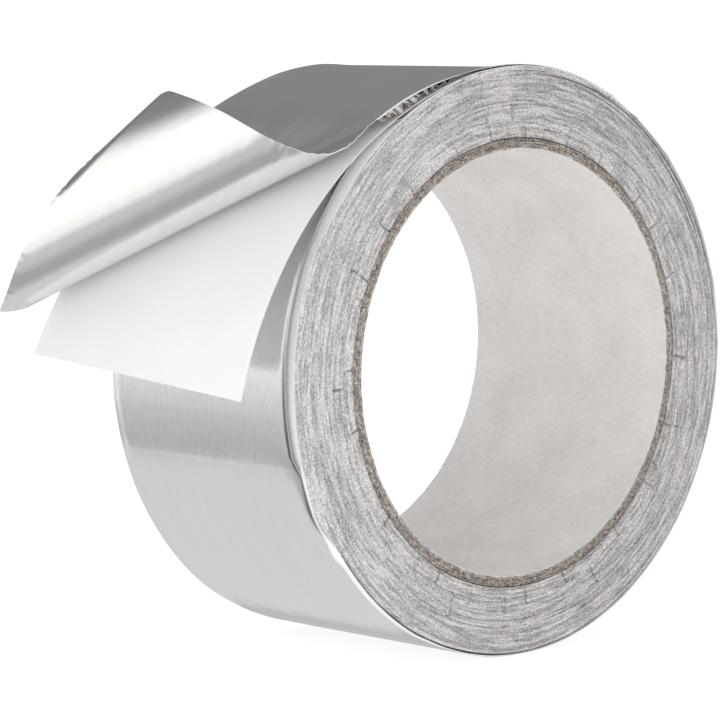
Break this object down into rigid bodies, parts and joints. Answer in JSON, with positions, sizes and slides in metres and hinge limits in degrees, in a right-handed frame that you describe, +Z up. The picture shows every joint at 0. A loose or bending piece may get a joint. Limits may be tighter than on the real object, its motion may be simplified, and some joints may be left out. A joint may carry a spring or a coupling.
{
  "type": "foil tape roll",
  "caption": "Roll of aluminium-foil tape on a paperboard core, with its free end lifted and the foil peeled back off its release liner",
  "frame": {"origin": "centre of the core's bore, halfway across the tape", "axes": "+Y along the bore, +Z up with the roll standing on its rim, the free end of the tape hangs towards -X"},
  "size_m": [0.13, 0.0536, 0.1055],
  "materials": {
    "lining_paper": "smooth white paper",
    "chipboard": "grey-brown recycled board, raw cut edge",
    "wrap_paper": "thin kraft wrap",
    "wound_edge": "slit edges of foil and paper turns, satin",
    "foil": "rolled foil, bright satin",
    "adhesive": "clear acrylic adhesive coat",
    "release_liner": "white release paper, smooth"
  },
  "bodies": {
    "roll": {"core_lining_paper": "lining_paper", "core_inner_board": "chipboard", "core_middle_board": "chipboard", "core_outer_board": "chipboard", "core_wrap_paper": "wrap_paper", "wound_tape": "wound_edge"},
    "outer_turn": {"outer_turn_liner": "release_liner", "outer_turn_adhesive": "adhesive", "outer_turn_foil": "foil"},
    "tail": {"tail_liner": "release_liner", "tail_adhesive": "adhesive", "tail_foil": "foil"},
    "flap": {"flap_adhesive": "adhesive", "flap_foil": "foil"}
  },
  "joints": [
    {"name": "pay_off", "type": "hinge", "parent": "roll", "child": "outer_turn", "pos_m": [0, 0, 0], "axis": [0, 1, 0], "continuous": true},
    {"name": "tail_lift", "type": "hinge", "parent": "outer_turn", "child": "tail", "pos_m": [-0.01447, 0, 0.05047], "axis": [0, 1, 0], "range_deg": [0, 100]},
    {"name": "foil_peel", "type": "hinge", "parent": "tail", "child": "flap", "pos_m": [-0.03667, -0.025, 0.04279], "axis": [-0.4348, 0.7905, -0.4314], "range_deg": [-20, 30]}
  ]
}
